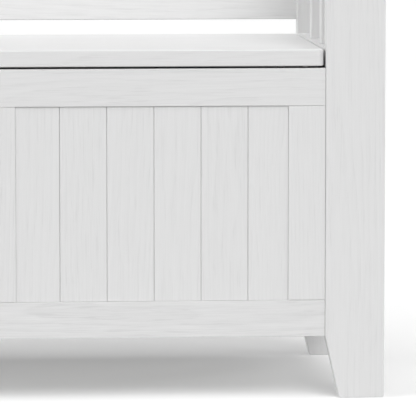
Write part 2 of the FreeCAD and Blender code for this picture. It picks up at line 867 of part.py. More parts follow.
def floor_cleats():
    """Square strips along the front and rear bottom rails, under the floor."""
    long = f"(2 * ({INNER} - cleat_end_gap))"
    low_x = f"(-{INNER} + cleat_end_gap)"
    low_z = "(rail_clearance + cleat_lift)"
    places = {"front": FRAME_BACK, "rear": f"({REAR_RAIL_Y} - cleat_side)"}
    cleats = [
        block(f"floor_cleat_{end}", (low_x, low_y, low_z), (long, "cleat_side", "cleat_side"))
        for end, low_y in places.items()
    ]
    return keep("floor_cleats", group("floor_cleats_group", cleats))


def storage_box():
    """Rear rails, panels and cleats of the box."""
    rail_holes = []
    for side in SIDES:
        rail_holes += leaf_screws(side, "rail", "screw_gap")
    rear_rail("hinge_rail", HINGE_RAIL_Z, "hinge_rail_height", HINGE_RAIL_Z, rail_holes)
    rear_rail(
        "rear_bottom_rail", "rail_clearance", "low_rail_height",
        f"({LOW_RAIL_TOP} - panel_groove)", [],
    )
    storage_back_panel()
    storage_floor()
    floor_cleats()


# Screws

def screw(name, at, upward, head, spare):
    """A countersunk screw by the middle of its head's flat, or the hole for one with room to spare."""
    direction = FreeCAD.Vector(0, 0, 1 if upward else -1)
    turn = FreeCAD.Rotation(FreeCAD.Vector(0, 0, 1), direction)
    cone = doc.addObject("Part::Cone", f"{name}_head")
    cone.Placement = FreeCAD.Placement(FreeCAD.Vector(), turn)
    bind(cone, "Radius1", f"screw_head_radius + {spare}")
    bind(cone, "Radius2", f"screw_radius + {spare}")
    bind(cone, "Height", head)
    put(cone, at)
    shank = rod(
        f"{name}_shank", at, f"screw_radius + {spare}", f"screw_length + {spare}", direction
    )
    return joined(name, [cone, shank])


def from_lid_end(side, inset):
    """A place along the lid, measured inward from its end."""
    return f"({LID_HALF} - {inset})" if side == "right" else f"({inset} - {LID_HALF})"


def leaf_screws(side, leaf, spare):
    """Screws of one hinge leaf, or their holes: down into the rail or up into the lid."""
    tag = "screw" if spare == "0" else "hole"
    upward = leaf == "lid"
    head_z = f"({LID_UNDER} - {LEAF_THICK})" if upward else f"({RAIL_TOP} + {LEAF_THICK})"
    middle = from_lid_end(side, "hinge_place")
    row_y = f"({LEAF_Y} + leaf_width / 2)"
    made = []
    for place in range(LEAF_SCREWS):
        across = f"({middle} + {place - (LEAF_SCREWS - 1) // 2} * leaf_screw_pitch)"
        name = f"hinge_{side}_{leaf}_{tag}_{next_number(tag)}"
        made.append(screw(name, (across, row_y, head_z), upward, LEAF_THICK, spare))
    return made


def next_number(tag):
    """A running number that keeps the names of repeated solids apart."""
    counters[tag] = counters.get(tag, 0) + 1
    return counters[tag]


def bracket_screws(side, spare):
    """Screws of a stay's bracket, up into the ledge, or their holes."""
    tag = "screw" if spare == "0" else "hole"
    middle = f"({INNER} + bracket_inset + bracket_flange / 2 + stay_thick / 2)"
    across = middle if side == "right" else f"(-{middle})"
    made = []
    for way in (-1, 1):
        along = f"({STAY_Y} + {way} * bracket_half / 2)"
        head_z = f"({LEDGE_Z} - stay_flange_thick)"
        name = f"bracket_{side}_{tag}_{next_number(tag)}"
        made.append(screw(name, (across, along, head_z), True, "stay_flange_thick", spare))
    return made


def stay_screws(side, spare):
    """Screws of a quadrant plate's flange, up into the lid, or their holes."""
    tag = "screw" if spare == "0" else "hole"
    middle = f"({STAY_FACE} - stay_thick - (stay_flange - stay_thick) / 2)"
    across = middle if side == "right" else f"(-{middle})"
    made = []
    for way in (-1, 1):
        along = f"({STAY_Y} + {way} * stay_tab / 2)"
        head_z = f"({LID_UNDER} - stay_flange_thick)"
        name = f"stay_{side}_{tag}_{next_number(tag)}"
        made.append(screw(name, (across, along, head_z), True, "stay_flange_thick", spare))
    return made


# Lid

def lid_panel():
    """Seat board with rounded front corners and softened edges."""
    wide = f"(2 * {LID_HALF})"
    deep = f"({LID_REAR} - {FRAME_FACE})"
    corners = [("0", "0"), (wide, "0"), (wide, deep), ("0", deep)]
    body, sketch = outline("lid_board", "XY_Plane", corners)
    pad = padded(body, sketch, "lid_thick")
    corner = rounded(
        body, pad, "lid_corner",
        lambda edge, bounds: upright(edge, bounds) and on_front(edge, bounds), "corner",
    )
    rounded(body, corner, "lid_round", lambda edge, bounds: same(edge.BoundBox.ZLength, 0), "round")
    put(body, (f"(-{LID_HALF})", FRAME_FACE, LID_UNDER))
    holes = []
    for side in SIDES:
        holes += leaf_screws(side, "lid", "screw_gap")
        holes += stay_screws(side, "screw_gap")
    return keep("lid_panel", cut("lid_cut", body, holes))


def lid_battens():
    """Two boards across the underside of the lid that keep it flat."""
    low_y = f"({FRAME_BACK} + batten_end_gap)"
    deep = f"({REAR_RAIL_Y} - batten_end_gap - {low_y})"
    battens = []
    for side in SIDES:
        low_x = outward(side, f"({LID_HALF} - batten_place - batten_width)", "batten_width")
        board = block(
            f"lid_batten_{side}_board",
            (low_x, low_y, f"({LID_UNDER} - batten_thick)"),
            ("batten_width", deep, "batten_thick"),
        )
        battens.append(eased(
            f"lid_batten_{side}", board, "lid_round",
            lambda edge, bounds: same(edge.BoundBox.ZMax, bounds.ZMin),
        ))
    return keep("lid_battens", group("lid_battens_group", battens))


def lid_bumpers():
    """Rubber pads under the lid's front edge."""
    along = f"({FRAME_FACE} + frame_thick / 2)"
    pads = []
    for side in SIDES:
        pads.append(rod(
            f"lid_bumper_{side}",
            (from_lid_end(side, "bumper_place"), along, f"({RAIL_TOP} + bumper_gap)"),
            "bumper_radius",
            "(lid_gap - bumper_gap)",
            FreeCAD.Vector(0, 0, 1),
        ))
    return keep("lid_bumpers", group("lid_bumpers_group", pads))


# Hinges

def hinge_leaf(side, leaf):
    """A leaf with its own knuckles, the pin's hole and countersunk screw holes."""
    name = f"hinge_{side}_{leaf}_leaf"
    middle = from_lid_end(side, "hinge_place")
    low_x = f"({middle} - leaf_length / 2)"
    low_z = RAIL_TOP if leaf == "rail" else f"({LID_UNDER} - {LEAF_THICK})"
    pieces = [block(f"{name}_plate", (low_x, LEAF_Y, low_z), ("leaf_length", "leaf_width", LEAF_THICK))]
    step = f"((leaf_length + knuckle_gap) / {KNUCKLES})"
    first = 0 if leaf == "rail" else 1
    for place in range(first, KNUCKLES, 2):
        start = f"({low_x} + {place} * {step})"
        long = f"({step} - knuckle_gap)"
        pieces.append(rod(f"{name}_knuckle_{place}", (start, AXIS_Y, AXIS_Z), "knuckle_radius", long))
        pieces.append(block(
            f"{name}_neck_{place}",
            (start, f"({LEAF_Y} + leaf_width / 2)", low_z),
            (long, f"({AXIS_Y} - {LEAF_Y} - leaf_width / 2)", LEAF_THICK),
        ))
    bore = rod(f"{name}_bore", (low_x, AXIS_Y, AXIS_Z), "pin_radius + pin_gap", "leaf_length")
    whole = joined(f"{name}_whole", pieces)
    return keep(name, cut(f"{name}_cut", whole, [bore] + leaf_screws(side, leaf, "screw_gap")))


def hinge_pin(side):
    """Pin through a hinge's knuckles, with a head at each end."""
    name = f"hinge_{side}_pin"
    middle = from_lid_end(side, "hinge_place")
    low_x = f"({middle} - leaf_length / 2 - knuckle_gap)"
    long = "(leaf_length + 2 * knuckle_gap)"
    shaft = rod(f"{name}_shaft", (low_x, AXIS_Y, AXIS_Z), "pin_radius", long)
    heads = [
        rod(f"{name}_head_{end}", (start, AXIS_Y, AXIS_Z), "pin_head_radius", "pin_head_length")
        for end, start in (("low", f"({low_x} - pin_head_length)"), ("high", f"({low_x} + {long})"))
    ]
    return keep(name, joined(f"{name}_whole", [shaft] + heads))


# Lid stays

def stay_bracket(side):
    """Bracket under the ledge with the headed pin that runs in the quadrant's slot."""
    name = f"stay_{side}_bracket"
    near = f"({INNER} + bracket_inset)"
    low_y = f"({STAY_Y} - bracket_half)"
    low_z = f"({STAY_Z} - bracket_half)"
    head_near = f"({STAY_FACE} - stay_thick - stay_pin_gap - stay_head_thick)"
    pin_long = f"({near} + stay_thick / 2 - {head_near})"
    tab = block(
        f"{name}_tab",
        (outward(side, near, "stay_thick"), low_y, low_z),
        ("stay_thick", "(2 * bracket_half)", f"({LEDGE_Z} - {low_z})"),
    )
    flange = block(
        f"{name}_flange",
        (outward(side, near, "bracket_flange"), low_y, f"({LEDGE_Z} - stay_flange_thick)"),
        ("bracket_flange", "(2 * bracket_half)", "stay_flange_thick"),
    )
    pin_at = (outward(side, head_near, pin_long), STAY_Y, STAY_Z)
    pin = rod(f"{name}_pin", pin_at, "stay_pin_radius", pin_long)
    head_at = (outward(side, head_near, "stay_head_thick"), STAY_Y, STAY_Z)
    head = rod(f"{name}_pin_head", head_at, "stay_head_radius", "stay_head_thick")
    whole = joined(f"{name}_whole", [tab, flange, pin, head])
    return keep(name, cut(f"{name}_cut", whole, bracket_screws(side, "screw_gap")))


def band(face_x, axis_y, axis_z, radius, half_wide, low_turn, high_turn, thick):
    """A flat band along an arc about the hinge line, with round ends."""
    def spot(distance, turn):
        return FreeCAD.Vector(
            face_x, axis_y - distance * math.cos(turn), axis_z + distance * math.sin(turn)
        )

    def end_cap(turn, way):
        tangent = FreeCAD.Vector(0, math.sin(turn), math.cos(turn))
        tip = spot(radius, turn) + tangent * (way * half_wide)
        return Part.Arc(spot(radius + way * half_wide, turn), tip, spot(radius - way * half_wide, turn))

    middle = (low_turn + high_turn) / 2
    outer = radius + half_wide
    inner = radius - half_wide
    sides = [
        Part.Arc(spot(outer, low_turn), spot(outer, middle), spot(outer, high_turn)),
        end_cap(high_turn, 1),
        Part.Arc(spot(inner, high_turn), spot(inner, middle), spot(inner, low_turn)),
        end_cap(low_turn, -1),
    ]
    loop = Part.Wire([side.toShape() for side in sides])
    return Part.Face(loop).extrude(FreeCAD.Vector(thick, 0, 0))


def stay_quadrant(side):
    """Slotted arc plate under the lid; the slot's ends stop the lid when it is open."""
    name = f"stay_{side}_quadrant"
    thick = value("stay_thick")
    inner_x = value("body_width") / 2 - value("post_width")
    near = inner_x - value("stay_inset") - thick
    low_x = near if side == "right" else -near - thick
    back = (value("arm_overhang") + value("body_depth")) / 2
    axis_y = back - value("post_thick") + value("knuckle_back_gap") + value("knuckle_radius")
    under = value("seat_height") - value("lid_thick")
    axis_z = under - value("lid_gap") / 2
    reach = value("stay_reach")
    drop = value("stay_drop")
    radius = math.hypot(reach, drop)
    high_turn = math.atan2(-drop, reach)
    low_turn = high_turn - math.radians(value("lid_open_angle"))
    half_tab = value("stay_tab")
    half_slot = value("stay_pin_radius") + value("stay_pin_gap")
    place = (low_x, axis_y, axis_z, radius)
    plate = band(*place, value("stay_band"), low_turn, high_turn, thick)
    tab_corner = FreeCAD.Vector(low_x, axis_y - reach - half_tab, axis_z - drop)
    tab = Part.makeBox(thick, 2 * half_tab, under - axis_z + drop, tab_corner)
    flange_x = near + thick - value("stay_flange")
    flange_low = flange_x if side == "right" else -near - thick
    flange_thick = value("stay_flange_thick")
    flange_corner = FreeCAD.Vector(flange_low, axis_y - reach - half_tab, under - flange_thick)
    flange = Part.makeBox(value("stay_flange"), 2 * half_tab, flange_thick, flange_corner)
    slot = band(*place, half_slot, low_turn, high_turn, thick)
    solid = plate.fuse([tab, flange]).removeSplitter().cut(slot)
    raw = doc.addObject("Part::Feature", f"{name}_raw")
    raw.Shape = solid
    return keep(name, cut(f"{name}_cut", raw, stay_screws(side, "screw_gap")))


def hardware():
    """Hinges, stays and the screws that hold them."""
    frame_screws = []
    lid_screws = []
    for side in SIDES:
        hinge_leaf(side, "rail")
        hinge_leaf(side, "lid")
        hinge_pin(side)
        stay_bracket(side)
        stay_quadrant(side)
        frame_screws += leaf_screws(side, "rail", "0") + bracket_screws(side, "0")
        lid_screws += leaf_screws(side, "lid", "0") + stay_screws(side, "0")
    keep("frame_screws", group("frame_screws_group", frame_screws))
    keep("lid_screws", group("lid_screws_group", lid_screws))


# Build, test and write

counters = {}
fill_sheet()
for bench_side in SIDES:
    side_frame(bench_side)
front_frame()
back_frame()
storage_box()
lid_panel()
lid_battens()
lid_bumpers()
hardware()
doc.recompute()

failed = [item.Label for item in doc.Objects if {"Invalid", "Error"} & set(item.State)]
if failed:
    raise RuntimeError(f"these did not compute: {failed}")
for node in nodes:
    if node.Shape.isNull() or not node.Shape.isValid():
        raise RuntimeError(f"{node.Label} has no valid shape")

os.makedirs("parts", exist_ok=True)
for node in nodes:
    node.Shape.exportStep(os.path.join("parts", f"{node.Label}.step"))
print(f"{len(nodes)} pieces written")
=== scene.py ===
"""Looks of a white painted storage bench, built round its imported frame.

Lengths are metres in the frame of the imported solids: +X is to the right as seen from the front,
the front faces -Y, +Z is up and the floor is at zero.
"""
import logging
import math
import zlib
from abc import ABC, abstractmethod
from dataclasses import dataclass
from enum import Enum
from typing import Callable, Iterator, Optional, Union

import bmesh
import bpy
from mathutils import Euler, Matrix, Vector


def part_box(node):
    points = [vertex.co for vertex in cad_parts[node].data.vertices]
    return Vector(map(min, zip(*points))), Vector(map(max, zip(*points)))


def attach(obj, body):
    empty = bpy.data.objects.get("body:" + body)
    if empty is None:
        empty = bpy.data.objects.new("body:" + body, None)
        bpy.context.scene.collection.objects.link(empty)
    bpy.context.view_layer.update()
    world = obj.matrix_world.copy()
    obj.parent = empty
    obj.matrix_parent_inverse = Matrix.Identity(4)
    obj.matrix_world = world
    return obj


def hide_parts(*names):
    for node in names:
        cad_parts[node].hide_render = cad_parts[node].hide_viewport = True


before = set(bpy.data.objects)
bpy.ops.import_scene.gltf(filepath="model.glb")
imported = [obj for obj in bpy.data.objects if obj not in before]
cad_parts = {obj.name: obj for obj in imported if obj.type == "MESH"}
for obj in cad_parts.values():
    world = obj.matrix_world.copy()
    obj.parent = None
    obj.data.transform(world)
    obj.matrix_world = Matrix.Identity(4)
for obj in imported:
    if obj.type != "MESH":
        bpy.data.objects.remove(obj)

log = logging.getLogger("storage_bench")

Colour = tuple[float, float, float]
Triple = tuple[float, float, float]
Shaded = Union[bpy.types.Material, bpy.types.World]

LARGEST_CHECKSUM = 0xFFFFFFFF
DOWNWARD = Vector((0.0, 0.0, -1.0))


def chance(text: str) -> float:
    """A fixed number from 0 to 1 that belongs to a text."""
    return zlib.crc32(text.encode()) / LARGEST_CHECKSUM


class Side(Enum):
    """End of the bench, as seen from the front."""

    LEFT = "left"
    RIGHT = "right"

    @property
    def sign(self) -> float:
        """Sign of x on this side."""
        return 1.0 if self is Side.RIGHT else -1.0


class Body(Enum):
    """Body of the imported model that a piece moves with."""

    FRAME = "frame"
    LID = "lid"


class Slot(Enum):
    """Material slot of the record."""

    WHITE_PAINT = "white_paint"
    INNER_PAINT = "inner_paint"
    HINGE_STEEL = "hinge_steel"
    BUMPER_RUBBER = "bumper_rubber"


class Axis(Enum):
    """Direction in the frame, with the turn in degrees that brings it to X."""

    X = (0.0, 0.0, 0.0)
    Y = (0.0, 0.0, -90.0)
    Z = (0.0, 90.0, 0.0)

    @property
    def index(self) -> int:
        """Place of this direction in a vector."""
        return list(Axis).index(self)

    @property
    def turn(self) -> Matrix:
        """Rotation that brings this direction to X."""
        return Euler([math.radians(angle) for angle in self.value], "XYZ").to_matrix()


class Drive(Enum):
    """Way that a screw points, with the turn that brings it there."""

    DOWN = 0.0
    UP = math.pi


@dataclass(frozen=True)
class BoardRow:
    """Boards of one width that lie side by side in one node.

    Attributes:
        across: Direction across the boards.
        start: Place of the first board's edge.
        pitch: Distance from board to board.
    """

    across: Axis
    start: float
    pitch: float


@dataclass(frozen=True)
class Board:
    """A node of painted wood.

    Attributes:
        node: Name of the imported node.
        grain: Direction of its grain.
        row: How its boards lie, where the node holds several.
        figure: How strongly its grain shows.
    """

    node: str
    grain: Axis
    row: Optional[BoardRow] = None
    figure: float = 1.0

    def chance(self, name: str) -> float:
        """A fixed number from 0 to 1 that is this board's own."""
        return chance(f"{self.node} {name}")


@dataclass(frozen=True)
class NoiseLayer:
    """Noise that is stretched along the grain or along brush lines.

    Attributes:
        along: Spots to the metre along X.
        across: Spots to the metre along Y and Z.
        detail: Finer layers of noise.
        kept: Part of the noise's range that is stretched to 0 to 1, where not all of it is used.
    """

    along: float
    across: float
    detail: float
    kept: Optional[tuple[float, float]] = None


@dataclass(frozen=True)
class Relief:
    """Fine relief of a finish.

    Attributes:
        strength: Share of the relief that shows.
        depth: Depth of the relief.
    """

    strength: float
    depth: float


class ShaderSheet:
    """Node tree of a material or a world, with short calls that add and link nodes."""

    # Places of the colour sockets on a node that mixes colours.
    FIRST_COLOUR = 6
    SECOND_COLOUR = 7
    MIXED_COLOUR = 2

    def __init__(self, owner: Shaded) -> None:
        """Start with an empty tree.

        Args:
            owner: Material or world that the nodes belong to.
        """
        self.owner = owner
        owner.use_nodes = True
        self.tree = owner.node_tree
        self.tree.nodes.clear()

    def add(self, kind: str, links: Optional[dict] = None, **values: object) -> bpy.types.Node:
        """Add a node.

        Args:
            kind: Node type, without its usual first word.
            links: Output sockets or plain values, by the name or number of the input they go to.
            **values: Properties of the node.

        Returns:
            The node.
        """
        node = self.tree.nodes.new(f"ShaderNode{kind}")
        for name, value in values.items():
            setattr(node, name, value)
        for place, source in (links or {}).items():
            if isinstance(source, bpy.types.NodeSocket):
                self.tree.links.new(source, node.inputs[place])
            else:
                node.inputs[place].default_value = source
        return node

    def math(self, operation: str, *terms: object) -> bpy.types.NodeSocket:
        """Add a sum on numbers.

        Args:
            operation: Name of the sum.
            *terms: Sockets or numbers.

        Returns:
            The result's socket.
        """
        return self.add("Math", dict(enumerate(terms)), operation=operation).outputs[0]

    def total(self, *parts: tuple[bpy.types.NodeSocket, float]) -> bpy.types.NodeSocket:
        """Add up values, each at its own weight.

        Args:
            *parts: Values with their weights.

        Returns:
            The sum.
        """
        (first, weight), *others = parts
        result = self.math("MULTIPLY", first, weight)
        for value, weight in others:
            result = self.math("MULTIPLY_ADD", value, weight, result)
        return result

    def vector(self, operation: str, *terms: object) -> bpy.types.Node:
        """Add a sum on vectors.

        Args:
            operation: Name of the sum.
            *terms: Sockets or triples.

        Returns:
            The node, since some sums give a vector and some a number.
        """
        return self.add("VectorMath", dict(enumerate(terms)), operation=operation)

    def spread(self, source: bpy.types.NodeSocket, low: float, high: float) -> bpy.types.NodeSocket:
        """Stretch part of a value's range to 0 to 1.

        Args:
            source: Value to stretch.
            low: Value that becomes 0.
            high: Value that becomes 1.

        Returns:
            The stretched value, held between 0 and 1.
        """
        return self.add("MapRange", {"Value": source, "From Min": low, "From Max": high}).outputs["Result"]

    def noise(self, place: bpy.types.NodeSocket, layer: NoiseLayer) -> bpy.types.NodeSocket:
        """Add a layer of noise.

        Args:
            place: Coordinates to read.
            layer: Kind of noise.

        Returns:
            The noise's value, from 0 to 1.
        """
        stretch = (layer.along, layer.across, layer.across)
        scaled = self.vector("MULTIPLY", place, stretch).outputs["Vector"]
        spots = self.add("TexNoise", {"Vector": scaled, "Scale": 1.0, "Detail": layer.detail})
        value = spots.outputs["Fac"]
        return self.spread(value, *layer.kept) if layer.kept else value

    def blend(self, share: bpy.types.NodeSocket, one: Colour, two: Colour) -> bpy.types.NodeSocket:
        """Blend two colours.

        Args:
            share: Share of the second colour.
            one: First colour.
            two: Second colour.

        Returns:
            The blended colour.
        """
        links = {"Factor": share, self.FIRST_COLOUR: (*one, 1.0), self.SECOND_COLOUR: (*two, 1.0)}
        return self.add("Mix", links, data_type="RGBA").outputs[self.MIXED_COLOUR]

    def coat(
        self,
        colour: bpy.types.NodeSocket,
        rough: bpy.types.NodeSocket,
        height: bpy.types.NodeSocket,
        relief: Relief,
        metallic: float = 0.0,
    ) -> Shaded:
        """Make the whole surface from its colour, roughness and relief.

        Args:
            colour: Colour of the surface.
            rough: Roughness of the surface.
            height: Height of the fine relief.
            relief: How that relief shows.
            metallic: One for bare metal.

        Returns:
            The finished material.
        """
        bump = self.add("Bump", {"Strength": relief.strength, "Distance": relief.depth, "Height": height})
        return self.finish(self.add("BsdfPrincipled", {
            "Base Color": colour,
            "Metallic": metallic,
            "Roughness": rough,
            "Normal": bump.outputs["Normal"],
        }))

    def finish(self, shader: bpy.types.Node) -> Shaded:
        """Join the last shader to the output.

        Args:
            shader: Shader of the whole surface.

        Returns:
            The finished material or world.
        """
        output = "OutputWorld" if isinstance(self.owner, bpy.types.World) else "OutputMaterial"
        self.add(output, {"Surface": shader.outputs[0]})
        return self.owner


@dataclass(frozen=True)
class Timber:
    """Wood of the boards: how they lie in their logs, and the figure that they show.

    Attributes:
        pith_depth: Least distance of the pith from a board's middle, through its thickness.
        depth_range: How much further off the pith may be.
        shift_range: Most room for the pith across a board's width.
        log_length: Length of the logs.
        lean: Degrees between the boards that lean most in their logs.
        row_apart: Largest distances in the log between boards of one row.
        ring_gap: Width of a growth ring.
        ring_steps: Density of a ring, by the place across it.
        sway: Slow bends of the rings.
        sway_width: How far the slow bends reach.
        waver: Quick bends of the rings.
        waver_width: How far the quick bends reach.
        fibres: Fibres of the wood.
        strokes: Open pores.
        pores_between: Share of the pores that also lie between the dense sides of the rings.
        specks: Finest pits.
        clouds: Slow changes of tone.
    """

    pith_depth: float = 0.035
    depth_range: float = 0.05
    shift_range: float = 0.12
    log_length: float = 3.0
    lean: float = 3.2
    row_apart: Triple = (3.0, 0.09, 0.09)
    ring_gap: float = 0.0055
    ring_steps: tuple[tuple[float, float], ...] = ((0.45, 0.18), (0.78, 0.75), (0.9, 1.0))
    sway: NoiseLayer = NoiseLayer(2.6, 16.0, 2.0)
    sway_width: float = 0.030
    waver: NoiseLayer = NoiseLayer(14.0, 90.0, 1.0)
    waver_width: float = 0.0035
    fibres: NoiseLayer = NoiseLayer(16.0, 430.0, 3.0, (0.32, 0.68))
    strokes: NoiseLayer = NoiseLayer(24.0, 560.0, 2.0, (0.53, 0.64))
    pores_between: float = 0.2
    specks: NoiseLayer = NoiseLayer(70.0, 1500.0, 1.0, (0.56, 0.72))
    clouds: NoiseLayer = NoiseLayer(2.2, 11.0, 2.0)

    def log_place(self, board: Board) -> tuple[Euler, Vector]:
        """Turn and place the log that a board was sawn from.

        Args:
            board: Board to cut from the log.

        Returns:
            The turn that brings the log's axis to X, and the shift that brings its pith to X.
        """
        low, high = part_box(board.node)
        size = high - low
        along = board.grain.index
        thin = min((axis for axis in range(3) if axis != along), key=lambda axis: size[axis])
        wide = 3 - along - thin
        depth = self.pith_depth + self.depth_range * board.chance("depth")
        pith = (low + high) / 2
        pith[thin] += depth if board.chance("way") > 0.5 else -depth
        pith[wide] += (board.chance("shift") - 0.5) * min(size[wide], self.shift_range)
        pith[along] += board.chance("start") * self.log_length
        lean, slant = (
            math.radians(self.lean * (board.chance(name) - 0.5)) for name in ("lean", "slant")
        )
        turn = Euler((0.0, lean, slant)).to_matrix() @ board.grain.turn
        return turn.to_euler("XYZ"), -(turn @ pith)

    def place(self, sheet: ShaderSheet, board: Board) -> bpy.types.NodeSocket:
        """Coordinates in the log: X along the grain, Y and Z across it.

        Args:
            sheet: Node tree to add to.
            board: Board to dress.

        Returns:
            The coordinates' socket.
        """
        spot = sheet.add("TexCoord").outputs["Object"]
        turn, shift = self.log_place(board)
        inside = sheet.add(
            "Mapping", {"Vector": spot, "Location": shift, "Rotation": turn}, vector_type="POINT"
        ).outputs["Vector"]
        if board.row is None:
            return inside
        across = sheet.add("SeparateXYZ", {0: spot}).outputs[board.row.across.index]
        steps = sheet.math("DIVIDE", sheet.math("SUBTRACT", across, board.row.start), board.row.pitch)
        number = sheet.math("FLOOR", steps)
        drawn = sheet.add("TexWhiteNoise", {"W": number}, noise_dimensions="1D").outputs["Color"]
        apart = sheet.vector("MULTIPLY", drawn, self.row_apart).outputs["Vector"]
        return sheet.vector("ADD", inside, apart).outputs["Vector"]

    def rings(self, sheet: ShaderSheet, place: bpy.types.NodeSocket) -> bpy.types.NodeSocket:
        """Growth rings, a slow rise to a narrow dense line.

        Args:
            sheet: Node tree to add to.
            place: Coordinates in the log.

        Returns:
            How dense the wood is, from 0 to 1.
        """
        flat = sheet.vector("MULTIPLY", place, (0.0, 1.0, 1.0)).outputs["Vector"]
        bent = sheet.vector("LENGTH", flat).outputs["Value"]
        for layer, width in ((self.sway, self.sway_width), (self.waver, self.waver_width)):
            bent = sheet.math("MULTIPLY_ADD", sheet.noise(place, layer), width, bent)
        phase = sheet.math("FRACT", sheet.math("DIVIDE", bent, self.ring_gap))
        ramp = sheet.add("ValToRGB", {"Fac": phase})
        stops = ramp.color_ramp.elements
        for end in stops:
            end.color = (0.0, 0.0, 0.0, 1.0)
        for spot, level in self.ring_steps:
            stops.new(spot).color = (level, level, level, 1.0)
        return ramp.outputs["Color"]

    def pores(
        self, sheet: ShaderSheet, place: bpy.types.NodeSocket, rings: bpy.types.NodeSocket
    ) -> bpy.types.NodeSocket:
        """Long open pores, most of them along the dense side of a ring.

        Args:
            sheet: Node tree to add to.
            place: Coordinates in the log.
            rings: How dense the wood is.

        Returns:
            How deep a pore is, from 0 to 1.
        """
        strokes = sheet.noise(place, self.strokes)
        amount = sheet.math("MULTIPLY_ADD", rings, 1.0 - self.pores_between, self.pores_between)
        return sheet.math("MULTIPLY", strokes, amount)


@dataclass(frozen=True)
class PaintedWood:
    """Satin white paint over wood whose grain shows faintly through.

    Attributes:
        slot: Material slot of the record.
        paint: Colour of the full coat.
        thin_paint: Colour where the coat lies thin over the grain.
        timber: Wood under the paint.
        ring_show: How much the rings show in the colour.
        pore_show: How much the open pores show in the colour.
        fibre_show: How much the fibres show in the colour.
        cloud_show: How much the slow tone changes show.
        figure_least: Figure of the plainest board.
        figure_range: How much more figure a board may have.
        roughness: Roughness of the smoothest paint.
        rough_range: How much rougher it is over the fibres.
        ring_rise: Height of the dense rings.
        fibre_dip: Depth of the fibres.
        pore_dip: Depth of the pores.
        speck_dip: Depth of the finest pits.
        relief: How the grain's relief shows.
    """

    slot: Slot
    paint: Colour
    thin_paint: Colour
    timber: Timber = Timber()
    ring_show: float = 0.15
    pore_show: float = 0.34
    fibre_show: float = 0.20
    cloud_show: float = 0.16
    figure_least: float = 0.75
    figure_range: float = 0.5
    roughness: float = 0.37
    rough_range: float = 0.10
    ring_rise: float = 0.35
    fibre_dip: float = 0.45
    pore_dip: float = 0.9
    speck_dip: float = 0.55
    relief: Relief = Relief(0.5, 0.00012)

    def material(self, board: Board) -> bpy.types.Material:
        """Paint for one board, with that board's own grain.

        Args:
            board: Board to dress.

        Returns:
            The material.
        """
        sheet = ShaderSheet(bpy.data.materials.new(f"{self.slot.value}_{board.node}"))
        place = self.timber.place(sheet, board)
        rings = self.timber.rings(sheet, place)
        fibres = sheet.noise(place, self.timber.fibres)
        pores = self.timber.pores(sheet, place, rings)
        specks = sheet.noise(place, self.timber.specks)
        clouds = sheet.noise(place, self.timber.clouds)
        figure = board.figure * (self.figure_least + self.figure_range * board.chance("figure"))
        thin = sheet.total(
            (rings, self.ring_show * figure),
            (pores, self.pore_show * figure),
            (fibres, self.fibre_show * figure),
            (clouds, self.cloud_show),
        )
        height = sheet.total(
            (fibres, -self.fibre_dip),
            (rings, self.ring_rise),
            (pores, -self.pore_dip),
            (specks, -self.speck_dip),
        )
        colour = sheet.blend(thin, self.paint, self.thin_paint)
        rough = sheet.math("MULTIPLY_ADD", fibres, self.rough_range, self.roughness)
        return sheet.coat(colour, rough, height, self.relief)


@dataclass(frozen=True)
class SatinNickel:
    """Nickel-plated steel with a fine brushed finish.

    Attributes:
        slot: Material slot of the record.
        colour: Colour of the metal.
        dull: Colour of the duller streaks.
        brush: Brush lines.
        brush_share: Share of the brush lines in the dull streaks.
        patches: Slightly worn patches.
        patch_share: Share of the patches in the dull streaks.
        dull_range: Wear at which the metal starts to be dull, and at which it is all dull.
        roughness: Roughness of the smoothest metal.
        rough_range: How much rougher it is where it is worn.
        relief: How the brush lines' relief shows.
    """

    slot: Slot = Slot.HINGE_STEEL
    colour: Colour = (0.66, 0.65, 0.63)
    dull: Colour = (0.52, 0.515, 0.50)
    brush: NoiseLayer = NoiseLayer(60.0, 2600.0, 2.0)
    brush_share: float = 0.4
    patches: NoiseLayer = NoiseLayer(160.0, 160.0, 3.0)
    patch_share: float = 0.6
    dull_range: tuple[float, float] = (0.38, 0.66)
    roughness: float = 0.22
    rough_range: float = 0.16
    relief: Relief = Relief(0.2, 0.00005)

    def material(self, name: str) -> bpy.types.Material:
        """Finish for one piece of hardware.

        Args:
            name: Name of the piece.

        Returns:
            The material.
        """
        sheet = ShaderSheet(bpy.data.materials.new(f"{self.slot.value}_{name}"))
        place = sheet.add("TexCoord").outputs["Object"]
        lines = sheet.noise(place, self.brush)
        patches = sheet.noise(place, self.patches)
        worn = sheet.total((lines, self.brush_share), (patches, self.patch_share))
        colour = sheet.blend(sheet.spread(worn, *self.dull_range), self.colour, self.dull)
        rough = sheet.math("MULTIPLY_ADD", worn, self.rough_range, self.roughness)
        return sheet.coat(colour, rough, lines, self.relief, metallic=1.0)


